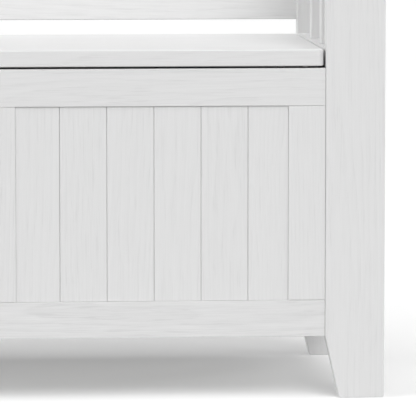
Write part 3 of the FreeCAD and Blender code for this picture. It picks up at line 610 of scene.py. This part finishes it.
@dataclass(frozen=True)
class SoftRubber:
    """Dark moulded rubber with a dusty bloom.

    Attributes:
        slot: Material slot of the record.
        colour: Colour of the rubber.
        bloom: Colour of the bloom.
        dust: Spots of the bloom.
        bloom_range: Dust at which the bloom starts, and at which it is full.
        roughness: Roughness of the smoothest rubber.
        rough_range: How much rougher it is under dust.
        relief: How the dust's relief shows.
    """

    slot: Slot = Slot.BUMPER_RUBBER
    colour: Colour = (0.07, 0.07, 0.07)
    bloom: Colour = (0.11, 0.11, 0.108)
    dust: NoiseLayer = NoiseLayer(700.0, 700.0, 4.0)
    bloom_range: tuple[float, float] = (0.4, 0.65)
    roughness: float = 0.55
    rough_range: float = 0.15
    relief: Relief = Relief(0.3, 0.00008)

    def material(self, name: str) -> bpy.types.Material:
        """Finish for one rubber piece.

        Args:
            name: Name of the piece.

        Returns:
            The material.
        """
        sheet = ShaderSheet(bpy.data.materials.new(f"{self.slot.value}_{name}"))
        place = sheet.add("TexCoord").outputs["Object"]
        dust = sheet.noise(place, self.dust)
        colour = sheet.blend(sheet.spread(dust, *self.bloom_range), self.colour, self.bloom)
        rough = sheet.math("MULTIPLY_ADD", dust, self.rough_range, self.roughness)
        return sheet.coat(colour, rough, dust, self.relief)


WHITE_PAINT = PaintedWood(Slot.WHITE_PAINT, (0.85, 0.85, 0.85), (0.74, 0.74, 0.74))
INNER_PAINT = PaintedWood(
    Slot.INNER_PAINT, (0.79, 0.79, 0.785), (0.62, 0.62, 0.605), ring_show=0.21, roughness=0.50
)
SATIN_NICKEL = SatinNickel()
SOFT_RUBBER = SoftRubber()


class Workshop:
    """Hand tools on Blender's operators."""

    @staticmethod
    def clear() -> None:
        """Deselect everything, the frame's nodes among it."""
        bpy.ops.object.select_all(action="DESELECT")

    @staticmethod
    def open(name: str) -> bpy.types.Object:
        """Name the primitive that was just added and open it with nothing selected.

        Args:
            name: Name of the piece.

        Returns:
            The piece, in edit mode.
        """
        piece = bpy.context.object
        piece.name = name
        piece.data.name = name
        bpy.ops.object.mode_set(mode="EDIT")
        bpy.ops.mesh.select_mode(type="FACE")
        bpy.ops.mesh.select_all(action="DESELECT")
        return piece

    @staticmethod
    def pick_faces(piece: bpy.types.Object, wanted: Callable[[Vector, Vector], bool]) -> None:
        """Select faces by their place and normal, and nothing else.

        Args:
            piece: Piece in edit mode.
            wanted: Test on a face's middle and normal.
        """
        bpy.ops.mesh.select_mode(type="FACE")
        bpy.ops.mesh.select_all(action="DESELECT")
        mesh = bmesh.from_edit_mesh(piece.data)
        for face in mesh.faces:
            face.select_set(wanted(face.calc_center_median(), face.normal))
        bmesh.update_edit_mesh(piece.data)

    @staticmethod
    def pick_facing(piece: bpy.types.Object, way: Vector, least: float = 0.9) -> None:
        """Select the faces on one side of a piece's middle that face that way, and nothing else.

        Args:
            piece: Piece in edit mode.
            way: Direction to face.
            least: Least share of a face's normal that lies along that direction.
        """
        Workshop.pick_faces(
            piece, lambda middle, normal: normal.dot(way) > least and middle.dot(way) > 0.0
        )

    @staticmethod
    def pick_edges(piece: bpy.types.Object, wanted: Callable[[Vector, Vector], bool]) -> None:
        """Select edges by their two ends, and nothing else.

        Args:
            piece: Piece in edit mode.
            wanted: Test on an edge's two ends.
        """
        bpy.ops.mesh.select_mode(type="EDGE")
        bpy.ops.mesh.select_all(action="DESELECT")
        mesh = bmesh.from_edit_mesh(piece.data)
        for edge in mesh.edges:
            edge.select_set(wanted(edge.verts[0].co, edge.verts[1].co))
        bmesh.update_edit_mesh(piece.data)

    @staticmethod
    def draw_out(step: Vector, scale: float = 1.0) -> None:
        """Extrude the picked faces and scale the new end across the piece's axis.

        Args:
            step: How far the new end lies from the old one.
            scale: Size of the new end against the old one.
        """
        bpy.ops.mesh.extrude_region_move(TRANSFORM_OT_translate={"value": step})
        if scale != 1.0:
            bpy.ops.transform.resize(value=(scale, scale, 1.0))

    @staticmethod
    def close(piece: bpy.types.Object, smooth_below: float = 35.0) -> bpy.types.Object:
        """Turn the faces outward, leave edit mode and smooth the round faces.

        Args:
            piece: Piece in edit mode.
            smooth_below: Angle in degrees up to which an edge is smoothed.

        Returns:
            The piece, with its place in its mesh.
        """
        bpy.ops.mesh.select_all(action="SELECT")
        bpy.ops.mesh.normals_make_consistent(inside=False)
        bpy.ops.mesh.select_all(action="DESELECT")
        bpy.ops.object.mode_set(mode="OBJECT")
        Workshop.clear()
        piece.select_set(True)
        bpy.context.view_layer.objects.active = piece
        bpy.ops.object.transform_apply(location=True, rotation=True, scale=True)
        bpy.ops.object.shade_smooth_by_angle(angle=math.radians(smooth_below))
        return piece

    @staticmethod
    def copy(pattern: bpy.types.Object, name: str, place: Matrix) -> bpy.types.Object:
        """Copy a piece with its own mesh to another place.

        Args:
            pattern: Piece to copy, modelled round the origin.
            name: Name of the copy.
            place: Where the copy goes.

        Returns:
            The copy, with its place in its mesh.
        """
        made = pattern.copy()
        made.data = pattern.data.copy()
        made.name = name
        made.data.name = name
        made.data.transform(place)
        bpy.context.scene.collection.objects.link(made)
        return made

    @staticmethod
    def discard(pattern: bpy.types.Object) -> None:
        """Remove a pattern or cutter that is done with."""
        bpy.data.objects.remove(pattern, do_unlink=True)


def dress_node(node: str, material: bpy.types.Material, slot: Slot) -> None:
    """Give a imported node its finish.

    Args:
        node: Name of the node.
        material: Material of the finish.
        slot: Material slot of the finish.
    """
    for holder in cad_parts[node].material_slots:
        holder.material = material
    log.info("%s: %s", node, slot.value)


def dress_board(board: Board, paint: PaintedWood = WHITE_PAINT) -> None:
    """Paint a packed board."""
    dress_node(board.node, paint.material(board), paint.slot)


def dress_metal(node: str, finish: SatinNickel = SATIN_NICKEL) -> None:
    """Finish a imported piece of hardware."""
    dress_node(node, finish.material(node), finish.slot)


def fit(piece: bpy.types.Object, body: Body, finish: Union[SatinNickel, SoftRubber], node: str) -> None:
    """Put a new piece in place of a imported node.

    Args:
        piece: Finished shape.
        body: Body that it moves with.
        finish: Finish to use.
        node: Node that it stands for.
    """
    piece.data.materials.clear()
    piece.data.materials.append(finish.material(piece.name))
    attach(piece, body.value)
    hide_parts(node)
    log.info("%s: new, for %s", piece.name, node)


class WhiteFrame(ABC):
    """Part of the bench that is all white painted boards."""

    @abstractmethod
    def boards(self) -> Iterator[Board]:
        """Boards of this part."""

    def dress(self) -> None:
        """Paint the boards."""
        for board in self.boards():
            dress_board(board)


@dataclass
class SideFrame(WhiteFrame):
    """Posts, ledge, arm, slats and planking of one end.

    Attributes:
        side: End of the bench.
        planks: Planks between the posts.
        post_figure: How strongly the front post's grain shows.
    """

    side: Side
    planks: int = 6
    post_figure: float = 0.8

    def boards(self) -> Iterator[Board]:
        """Boards of this end.

        Yields:
            Each board.
        """
        end = self.side.value
        yield Board(f"front_post_{end}", Axis.Z, figure=self.post_figure)
        yield Board(f"back_post_{end}", Axis.Z)
        yield Board(f"arm_slat_{end}_front", Axis.Z)
        yield Board(f"arm_slat_{end}_rear", Axis.Z)
        yield Board(f"arm_{end}", Axis.Y)
        yield Board(f"seat_ledge_{end}", Axis.Y)
        yield Board(f"side_top_rail_{end}", Axis.Y)
        yield Board(f"side_bottom_rail_{end}", Axis.Y)
        planking = f"side_planks_{end}"
        low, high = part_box(planking)
        row = BoardRow(Axis.Y, low.y, (high.y - low.y) / self.planks)
        yield Board(planking, Axis.Z, row)


@dataclass
class FrontFrame(WhiteFrame):
    """Rails, stiles, muntin and planks of the front.

    Attributes:
        planks_per_bay: Planks on each side of the muntin.
        top_figure: How strongly the top rail's grain shows.
        bottom_figure: How strongly the bottom rail's grain shows.
    """

    planks_per_bay: int = 6
    top_figure: float = 1.3
    bottom_figure: float = 2.4

    def boards(self) -> Iterator[Board]:
        """Boards of the front.

        Yields:
            Each board.
        """
        yield Board("front_top_rail", Axis.X, figure=self.top_figure)
        yield Board("front_bottom_rail", Axis.X, figure=self.bottom_figure)
        yield Board("front_muntin", Axis.Z)
        for side in Side:
            yield Board(f"front_stile_{side.value}", Axis.Z)
            for number in range(1, self.planks_per_bay + 1):
                yield Board(f"front_plank_{side.value}_{number}", Axis.Z)


@dataclass
class BackFrame(WhiteFrame):
    """Rails and slats of the backrest.

    Attributes:
        slats: Number of upright slats.
        slat_pitch: Distance from slat to slat.
    """

    slats: int = 7
    slat_pitch: float = 0.110

    def boards(self) -> Iterator[Board]:
        """Boards of the backrest.

        Yields:
            Each board.
        """
        yield Board("back_crest_rail", Axis.X)
        yield Board("back_lower_rail", Axis.X)
        row = BoardRow(Axis.X, -self.slat_pitch * self.slats / 2, self.slat_pitch)
        yield Board("back_slats", Axis.Z, row)


@dataclass
class StorageBox:
    """Rails and panels that close the box behind and below.

    Attributes:
        rails: Rails behind the box.
        panels: Thinly painted panels.
        cleat_row: How the cleats under the floor are told apart.
    """

    rails: tuple[str, ...] = ("hinge_rail", "rear_bottom_rail")
    panels: tuple[str, ...] = ("storage_back_panel", "storage_floor")
    cleat_row: BoardRow = BoardRow(Axis.Y, -0.19, 0.19)

    def dress(self) -> None:
        """Paint the rails white and the inner boards thinly."""
        for node in self.rails:
            dress_board(Board(node, Axis.X))
        for node in self.panels:
            dress_board(Board(node, Axis.X), INNER_PAINT)
        dress_board(Board("floor_cleats", Axis.X, self.cleat_row), INNER_PAINT)


@dataclass
class Lid:
    """Seat board with its battens and bumpers.

    Attributes:
        batten_row: How the battens are told apart.
        under: Height of the lid's underside.
        bumper_radius: Radius of a bumper.
        bumper_height: Height of a bumper.
        bumper_place: Distance of a bumper from the middle.
        bumper_along: Place of the bumpers from front to back.
        dome: Radius of the bumper's rounded rim.
        dome_steps: Facets across that rim.
        dimple_rim: Width of the rim round the bumper's dimple.
        dimple: Depth of the dimple.
        flat: Least share of a normal that points down on the bumper's end.
        facets: Facets round the bumper.
        smooth_below: Angle in degrees up to which its edges are smoothed.
    """

    batten_row: BoardRow = BoardRow(Axis.X, -0.5, 0.5)
    under: float = 0.448
    bumper_radius: float = 0.005
    bumper_height: float = 0.0027
    bumper_place: float = 0.380
    bumper_along: float = -0.1995
    dome: float = 0.001944
    dome_steps: int = 6
    dimple_rim: float = 0.0014
    dimple: float = 0.000324
    flat: float = 0.999
    facets: int = 40
    smooth_below: float = 60.0

    def bumper(self) -> bpy.types.Object:
        """Model a domed pad that hangs below the origin.

        Returns:
            The pad.
        """
        Workshop.clear()
        half = self.bumper_height / 2
        bpy.ops.mesh.primitive_cylinder_add(
            vertices=self.facets, radius=self.bumper_radius, depth=self.bumper_height,
            location=(0.0, 0.0, -half),
        )
        pad = Workshop.open("bumper")
        Workshop.pick_edges(pad, lambda one, two: max(one.z, two.z) < 0.0)
        bpy.ops.mesh.bevel(offset=self.dome, segments=self.dome_steps, affect="EDGES")
        Workshop.pick_facing(pad, DOWNWARD, self.flat)
        bpy.ops.mesh.inset(thickness=self.dimple_rim)
        bpy.ops.transform.translate(value=-self.dimple * DOWNWARD)
        return Workshop.close(pad, self.smooth_below)

    def build(self) -> None:
        """Fit a bumper under each end of the front edge."""
        pattern = self.bumper()
        for side in Side:
            spot = Vector((side.sign * self.bumper_place, self.bumper_along, self.under))
            pad = Workshop.copy(pattern, f"lid_bumper_{side.value}", Matrix.Translation(spot))
            fit(pad, Body.LID, SOFT_RUBBER, "lid_bumpers")
        Workshop.discard(pattern)

    def dress(self) -> None:
        """Paint the seat board white and the battens thinly."""
        dress_board(Board("lid_panel", Axis.X))
        dress_board(Board("lid_battens", Axis.Y, self.batten_row), INNER_PAINT)


@dataclass
class CrossScrew:
    """Countersunk screw with a cross recess.

    Attributes:
        head_radius: Radius of the head's flat.
        shank_radius: Radius of the shank.
        head_depth: Depth of the countersink.
        head_rim: Height of the head's straight rim.
        length: Whole length.
        tip_length: Length of the tapered tip.
        tip_scale: Size of the tip's end against the shank.
        recess: Length of the cross.
        recess_width: Width of an arm of the cross.
        recess_depth: Depth of the cross.
        recess_scale: Size of the cross at its bottom against its top.
        facets: Facets round the screw.
        smooth_below: Angle in degrees up to which its edges are smoothed.
    """

    head_radius: float = 0.0028
    shank_radius: float = 0.0015
    head_depth: float = 0.0014
    head_rim: float = 0.00021
    length: float = 0.013
    tip_length: float = 0.003
    tip_scale: float = 0.3
    recess: float = 0.0031
    recess_width: float = 0.0007
    recess_depth: float = 0.0011
    recess_scale: float = 0.55
    facets: int = 32
    smooth_below: float = 30.0

    def blank(self) -> bpy.types.Object:
        """Model a screw without its recess, head up at the origin.

        Returns:
            The screw.
        """
        Workshop.clear()
        bpy.ops.mesh.primitive_cylinder_add(
            vertices=self.facets, radius=self.head_radius, depth=self.head_rim,
            location=(0.0, 0.0, -self.head_rim / 2),
        )
        screw = Workshop.open("screw")
        Workshop.pick_facing(screw, DOWNWARD)
        cone = self.head_depth - self.head_rim
        Workshop.draw_out(cone * DOWNWARD, self.shank_radius / self.head_radius)
        Workshop.draw_out((self.length - self.head_depth - self.tip_length) * DOWNWARD)
        Workshop.draw_out(self.tip_length * DOWNWARD, self.tip_scale)
        return Workshop.close(screw)

    def cutter(self) -> bpy.types.Object:
        """Model the tool that cuts the recess, narrower at its tip.

        Returns:
            The tool.
        """
        Workshop.clear()
        width = self.recess_width
        bpy.ops.mesh.primitive_cube_add(size=1.0)
        tool = Workshop.open("recess_tool")
        bpy.ops.mesh.select_all(action="SELECT")
        bpy.ops.transform.resize(value=(width, width, 2 * self.recess_depth))
        arm = (self.recess - width) / 2
        for turn in range(4):
            way = Matrix.Rotation(turn * math.pi / 2, 3, "Z") @ Vector((1.0, 0.0, 0.0))
            Workshop.pick_faces(tool, lambda middle, normal: (
                (middle - way * width / 2).length < width / 4
            ))
            Workshop.draw_out(way * arm)
        Workshop.pick_facing(tool, DOWNWARD)
        bpy.ops.transform.resize(value=(self.recess_scale, self.recess_scale, 1.0))
        return Workshop.close(tool)

    def pattern(self) -> bpy.types.Object:
        """Model one whole screw.

        Returns:
            The screw, head up at the origin.
        """
        screw = self.blank()
        tool = self.cutter()
        Workshop.clear()
        screw.select_set(True)
        bpy.context.view_layer.objects.active = screw
        recess = screw.modifiers.new("recess", "BOOLEAN")
        recess.object = tool
        recess.operation = "DIFFERENCE"
        recess.solver = "EXACT"
        bpy.ops.object.modifier_apply(modifier=recess.name)
        bpy.ops.object.shade_smooth_by_angle(angle=math.radians(self.smooth_below))
        Workshop.discard(tool)
        return screw


def drive_screw(pattern: bpy.types.Object, name: str, spot: Triple, drive: Drive, body: Body) -> None:
    """Fit a copy of the screw, its recess at a turn of its own.

    Args:
        pattern: Screw to copy.
        name: Name of the copy.
        spot: Middle of the head's flat.
        drive: Way that the screw points.
        body: Body that it moves with.
    """
    turn = Matrix.Rotation(chance(name) * math.pi, 4, "Z")
    flip = Matrix.Rotation(drive.value, 4, "X")
    screw = Workshop.copy(pattern, name, Matrix.Translation(Vector(spot)) @ flip @ turn)
    fit(screw, body, SATIN_NICKEL, f"{body.value}_screws")


@dataclass
class Hinge:
    """Butt hinge at one end of the lid.

    Attributes:
        side: End of the bench.
        middle: Distance of the hinge from the bench's middle.
        leaf_length: Length of a leaf.
        axis: Place of the pin, from front to back and in height.
        pin_radius: Radius of the pin.
        knob_radius: Radius of the pin's ends.
        knob_length: Length of the pin's ends.
        knob_steps: Steps of the domed end: share of its length, and size against the step before.
        play: Room between the knuckles and the pin's ends.
        facets: Facets round the pin.
        smooth_below: Angle in degrees up to which the pin's edges are smoothed.
        screws: Screws in each leaf.
        screw_row: Place of the screws from front to back.
        screw_pitch: Distance from screw to screw.
        rail_head: Height of the screw heads on the rail.
        lid_head: Height of the screw heads under the lid.
    """

    side: Side
    middle: float = 0.300
    leaf_length: float = 0.064
    axis: tuple[float, float] = (0.1985, 0.4465)
    pin_radius: float = 0.0015
    knob_radius: float = 0.0024
    knob_length: float = 0.0012
    knob_steps: tuple[tuple[float, float], ...] = ((0.6, 1.0), (0.3, 0.8), (0.1, 0.5))
    play: float = 0.0002
    facets: int = 32
    smooth_below: float = 50.0
    screws: int = 3
    screw_row: float = 0.18575
    screw_pitch: float = 0.022
    rail_head: float = 0.4464
    lid_head: float = 0.4466

    def pin(self) -> bpy.types.Object:
        """Model the pin with a domed knob at each end.

        Returns:
            The pin, in place.
        """
        Workshop.clear()
        length = self.leaf_length + 2 * self.play
        bpy.ops.mesh.primitive_cylinder_add(vertices=self.facets, radius=self.pin_radius, depth=length)
        pin = Workshop.open(f"hinge_pin_{self.side.value}")
        for way in (DOWNWARD, -DOWNWARD):
            Workshop.pick_facing(pin, way)
            Workshop.draw_out(0.0 * way, self.knob_radius / self.pin_radius)
            for share, scale in self.knob_steps:
                Workshop.draw_out(share * self.knob_length * way, scale)
        Workshop.close(pin, self.smooth_below)
        spot = Vector((self.side.sign * self.middle, *self.axis))
        pin.data.transform(Matrix.Translation(spot) @ Matrix.Rotation(math.pi / 2, 4, "Y"))
        return pin

    def build(self, screw: bpy.types.Object) -> None:
        """Fit the pin and the screws of both leaves.

        Args:
            screw: Screw to copy.
        """
        end = self.side.value
        fit(self.pin(), Body.FRAME, SATIN_NICKEL, f"hinge_{end}_pin")
        first = self.side.sign * self.middle - (self.screws - 1) / 2 * self.screw_pitch
        for number in range(self.screws):
            across = first + number * self.screw_pitch
            tag = f"{end}_{number + 1}"
            spot = (across, self.screw_row, self.rail_head)
            drive_screw(screw, f"rail_screw_{tag}", spot, Drive.DOWN, Body.FRAME)
            spot = (across, self.screw_row, self.lid_head)
            drive_screw(screw, f"leaf_screw_{tag}", spot, Drive.UP, Body.LID)

    def dress(self) -> None:
        """Finish the leaves."""
        for leaf in ("rail", "lid"):
            dress_metal(f"hinge_{self.side.value}_{leaf}_leaf")


@dataclass
class LidStay:
    """Slotted quadrant and bracket at one end of the lid.

    Attributes:
        side: End of the bench.
        along: Place of the pin from front to back.
        bracket_across: Distance of the bracket's screws from the middle.
        bracket_pitch: Distance between the bracket's screws.
        plate_across: Distance of the quadrant's screws from the middle.
        plate_pitch: Distance between the quadrant's screws.
        head: Height of the screw heads.
    """

    side: Side
    along: float = 0.0585
    bracket_across: float = 0.45325
    bracket_pitch: float = 0.012
    plate_across: float = 0.42325
    plate_pitch: float = 0.016
    head: float = 0.446

    def build(self, screw: bpy.types.Object) -> None:
        """Fit the screws of the bracket and the quadrant.

        Args:
            screw: Screw to copy.
        """
        for number, way in enumerate((-0.5, 0.5), start=1):
            tag = f"{self.side.value}_{number}"
            across = self.side.sign * self.bracket_across
            spot = (across, self.along + way * self.bracket_pitch, self.head)
            drive_screw(screw, f"bracket_screw_{tag}", spot, Drive.UP, Body.FRAME)
            across = self.side.sign * self.plate_across
            spot = (across, self.along + way * self.plate_pitch, self.head)
            drive_screw(screw, f"quadrant_screw_{tag}", spot, Drive.UP, Body.LID)

    def dress(self) -> None:
        """Finish the bracket and the quadrant."""
        for piece in ("bracket", "quadrant"):
            dress_metal(f"stay_{self.side.value}_{piece}")


@dataclass(frozen=True)
class SoftLamp:
    """Wide lamp a long way off.

    Attributes:
        name: Name of the lamp.
        turn: Degrees that it stands to the right of the front.
        height: Degrees that it stands above the floor.
        width: Degrees that it spans, for soft shadows.
        strength: Strength of its light.
    """

    name: str
    turn: float
    height: float
    width: float
    strength: float

    def hang(self) -> None:
        """Hang the lamp, turned towards the bench."""
        Workshop.clear()
        tilt = math.radians(90.0 - self.height)
        bpy.ops.object.light_add(type="SUN", rotation=(tilt, 0.0, math.radians(self.turn)))
        lamp = bpy.context.object
        lamp.name = self.name
        lamp.data.energy = self.strength
        lamp.data.angle = math.radians(self.width)


@dataclass
class Studio:
    """Floor, lamps and surroundings.

    Attributes:
        floor_size: Side of the floor.
        floor_colour: Colour of the floor to the camera.
        shade_lift: Light added to the floor as the camera sees it, so that its shadow stays pale.
        bounce_colour: Colour of the floor in the light that it sends back.
        bounce_glow: Light added to what the floor sends back.
        sky: Strength of the white surroundings as a light.
        lamps: Lamps round the bench, those behind it low.
    """

    floor_size: float = 80.0
    floor_colour: float = 1.0
    shade_lift: float = 0.097
    bounce_colour: float = 0.30
    bounce_glow: float = 0.27
    sky: float = 0.17
    lamps: tuple[SoftLamp, ...] = (
        SoftLamp("front_lamp", 15.0, 25.0, 40.0, 0.59),
        SoftLamp("high_lamp", 15.0, 50.0, 40.0, 1.00),
        SoftLamp("left_lamp", -75.0, 32.0, 45.0, 0.97),
        SoftLamp("right_lamp", 75.0, 25.0, 40.0, 0.70),
        SoftLamp("top_lamp", -60.0, 75.0, 50.0, 0.41),
        SoftLamp("back_left_lamp", -130.0, 5.0, 16.0, 0.64),
        SoftLamp("back_right_lamp", 130.0, 5.0, 16.0, 0.64),
    )

    def seen(self, sheet: ShaderSheet) -> bpy.types.NodeSocket:
        """Whether a ray comes straight from the camera, or by way of metal or glass.

        Args:
            sheet: Node tree to add to.

        Returns:
            One for such a ray and zero for others.
        """
        path = sheet.add("LightPath").outputs
        straight = sheet.math("MAXIMUM", path["Is Camera Ray"], path["Is Glossy Ray"])
        return sheet.math("MAXIMUM", straight, path["Is Transmission Ray"])

    def floor(self) -> None:
        """Lay the floor."""
        Workshop.clear()
        bpy.ops.mesh.primitive_plane_add(size=self.floor_size)
        ground = bpy.context.object
        ground.name = "studio_floor"
        sheet = ShaderSheet(bpy.data.materials.new("studio_floor"))
        seen = self.seen(sheet)
        level = sheet.math(
            "MULTIPLY_ADD", seen, self.floor_colour - self.bounce_colour, self.bounce_colour
        )
        matt = sheet.add("BsdfDiffuse", {"Color": level})
        glow = sheet.math("MULTIPLY_ADD", seen, self.shade_lift - self.bounce_glow, self.bounce_glow)
        lift = sheet.add("Emission", {"Strength": glow})
        both = sheet.add("AddShader", {0: matt.outputs[0], 1: lift.outputs[0]})
        ground.data.materials.append(sheet.finish(both))

    def surroundings(self) -> None:
        """Set a world that is white to the camera and in metal, and dimmer as a light."""
        world = bpy.data.worlds.new("studio")
        sheet = ShaderSheet(world)
        level = sheet.math("MAXIMUM", self.seen(sheet), self.sky)
        sheet.finish(sheet.add("Background", {"Color": (1.0, 1.0, 1.0, 1.0), "Strength": level}))
        bpy.context.scene.world = world

    def build(self) -> None:
        """Set up the floor, the surroundings and the lamps."""
        self.floor()
        self.surroundings()
        for lamp in self.lamps:
            lamp.hang()
        bpy.context.scene.view_settings.view_transform = "Standard"


@dataclass
class PhotoCamera:
    """Camera at the photograph's viewing angle.

    Attributes:
        place: Where it stands.
        yaw: Degrees that it is turned to the right.
        pitch: Degrees that it looks up.
        lens: Focal length in millimetres.
        sensor: Width of its frame in millimetres.
        reach: How far it sees.
    """

    place: Triple = (-0.0559, -5.0017, 0.7489)
    yaw: float = 4.033
    pitch: float = -5.829
    lens: float = 312.4
    sensor: float = 36.0
    reach: float = 200.0

    def build(self) -> None:
        """Set up the camera."""
        Workshop.clear()
        turn = Euler((math.radians(90.0 + self.pitch), 0.0, math.radians(-self.yaw)))
        bpy.ops.object.camera_add(location=self.place, rotation=turn)
        camera = bpy.context.object
        camera.name = "photo_camera"
        camera.data.sensor_width = self.sensor
        camera.data.lens = self.lens
        camera.data.clip_end = self.reach
        bpy.context.scene.camera = camera


def main() -> None:
    """Build the bench's looks and its studio."""
    logging.basicConfig(level=logging.INFO, format="%(message)s")
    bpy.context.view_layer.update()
    PhotoCamera().build()
    Studio().build()
    for side in Side:
        SideFrame(side).dress()
    FrontFrame().dress()
    BackFrame().dress()
    StorageBox().dress()
    lid = Lid()
    lid.build()
    lid.dress()
    screw = CrossScrew().pattern()
    for side in Side:
        hinge = Hinge(side)
        hinge.build(screw)
        hinge.dress()
        stay = LidStay(side)
        stay.build(screw)
        stay.dress()
    Workshop.discard(screw)


if __name__ == "__main__":
    main()
